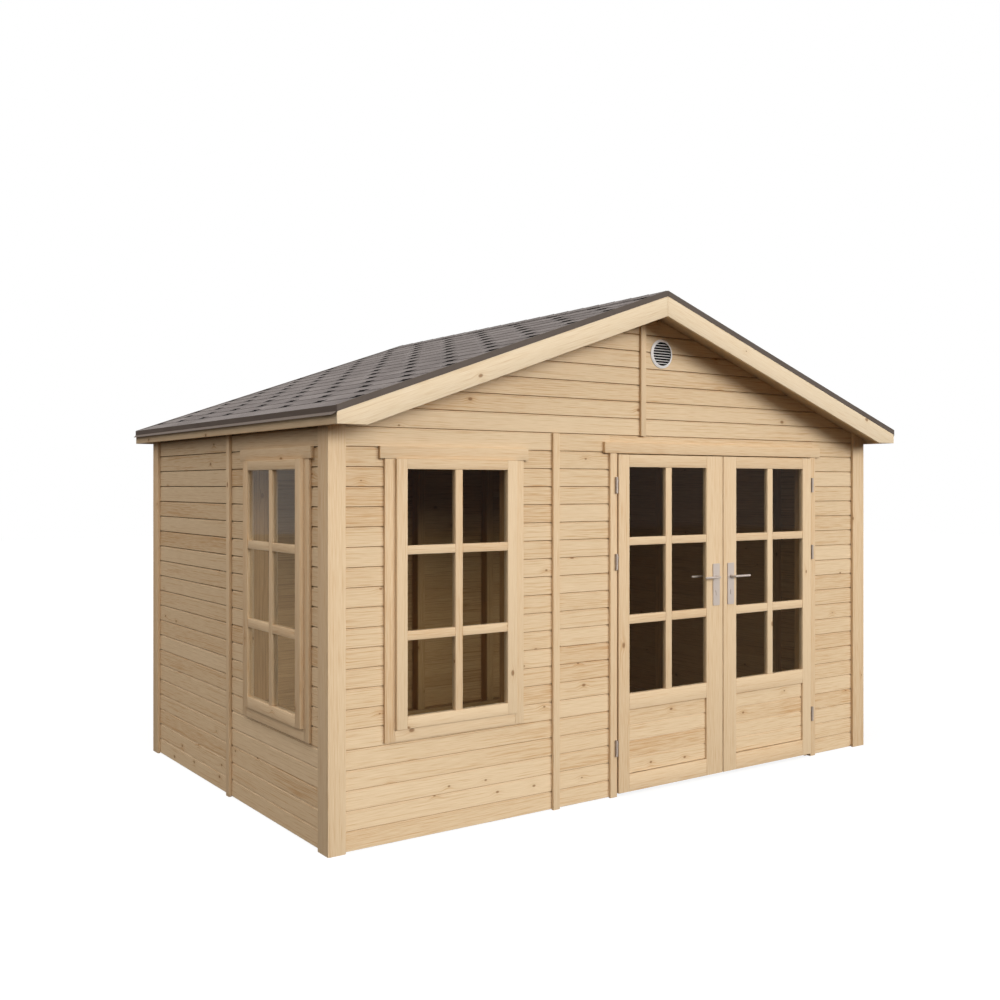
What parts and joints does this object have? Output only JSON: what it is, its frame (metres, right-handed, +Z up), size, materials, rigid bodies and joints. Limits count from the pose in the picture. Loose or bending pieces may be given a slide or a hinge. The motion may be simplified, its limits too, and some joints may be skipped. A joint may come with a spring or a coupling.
{
  "type": "garden shed",
  "caption": "Gabled timber garden shed with weatherboard walls, glazed double doors, tall paned windows, a round gable vent and a shingled pitched roof.",
  "frame": {"origin": "on the ground, under the middle of the roof's outline", "axes": "+X along the front from the window to the doors, +Y from the front to the back along the ridge, +Z up; the doors face -Y"},
  "size_m": [3.944, 2.854, 2.7135],
  "materials": {
    "wall_boards": "untreated planed spruce weatherboard",
    "framing": "untreated sawn spruce",
    "planed_trim": "untreated planed spruce",
    "glazing": "clear float glass",
    "handle_metal": "satin nickel",
    "hinge_metal": "zinc plated",
    "roof_felt": "mineral granules on bitumen felt",
    "roof_edging": "matt dark grey coating",
    "vent_plastic": "white moulded plastic"
  },
  "bodies": {
    "shed": {"front_wall_left": "wall_boards", "front_wall_middle": "wall_boards", "front_wall_over_door": "wall_boards", "front_wall_right": "wall_boards", "front_gable": "wall_boards", "back_wall": "wall_boards", "back_gable": "wall_boards", "left_wall_front": "wall_boards", "left_wall_back": "wall_boards", "right_wall": "wall_boards", "wall_studs": "framing", "wall_rails": "framing", "gable_rafters": "framing", "roof_beams": "framing", "end_corner_boards": "planed_trim", "side_corner_boards": "planed_trim", "battens": "planed_trim", "front_window_casing": "planed_trim", "front_window_sash": "planed_trim", "front_window_glass": "glazing", "left_window_casing": "planed_trim", "left_window_sash": "planed_trim", "left_window_glass": "glazing", "door_frame": "framing", "door_casing": "planed_trim", "frame_hinges": "hinge_metal", "roof_boards": "framing", "bargeboards": "planed_trim", "eave_boards": "planed_trim", "shingles": "roof_felt", "ridge_cap": "roof_felt", "gable_edging": "roof_edging", "eave_edging": "roof_edging", "gable_vent": "vent_plastic"},
    "left_door": {"left_door_leaf": "planed_trim", "left_door_panel": "wall_boards", "left_door_glass": "glazing", "left_door_plates": "handle_metal", "left_door_hinges": "hinge_metal"},
    "right_door": {"right_door_leaf": "planed_trim", "right_door_panel": "wall_boards", "right_door_glass": "glazing", "right_door_plates": "handle_metal", "right_door_hinges": "hinge_metal"},
    "left_handle": {"left_lever": "handle_metal"},
    "right_handle": {"right_lever": "handle_metal"}
  },
  "joints": [
    {"name": "left_door_swing", "type": "hinge", "parent": "shed", "child": "left_door", "pos_m": [-0.201, -1.2418, 0.02], "axis": [0, 0, -1], "range_deg": [0, 150]},
    {"name": "right_door_swing", "type": "hinge", "parent": "shed", "child": "right_door", "pos_m": [1.391, -1.2418, 0.02], "axis": [0, 0, 1], "range_deg": [0, 150]},
    {"name": "left_lever_turn", "type": "hinge", "parent": "left_door", "child": "left_handle", "pos_m": [0.54775, -1.243, 1.149], "axis": [0, -1, 0], "range_deg": [0, 45], "stiffness_Nm_per_rad": 1.5, "springref_deg": -28.65},
    {"name": "right_lever_turn", "type": "hinge", "parent": "right_door", "child": "right_handle", "pos_m": [0.66625, -1.243, 1.149], "axis": [0, 1, 0], "range_deg": [0, 45], "stiffness_Nm_per_rad": 1.5, "springref_deg": -28.65}
  ]
}
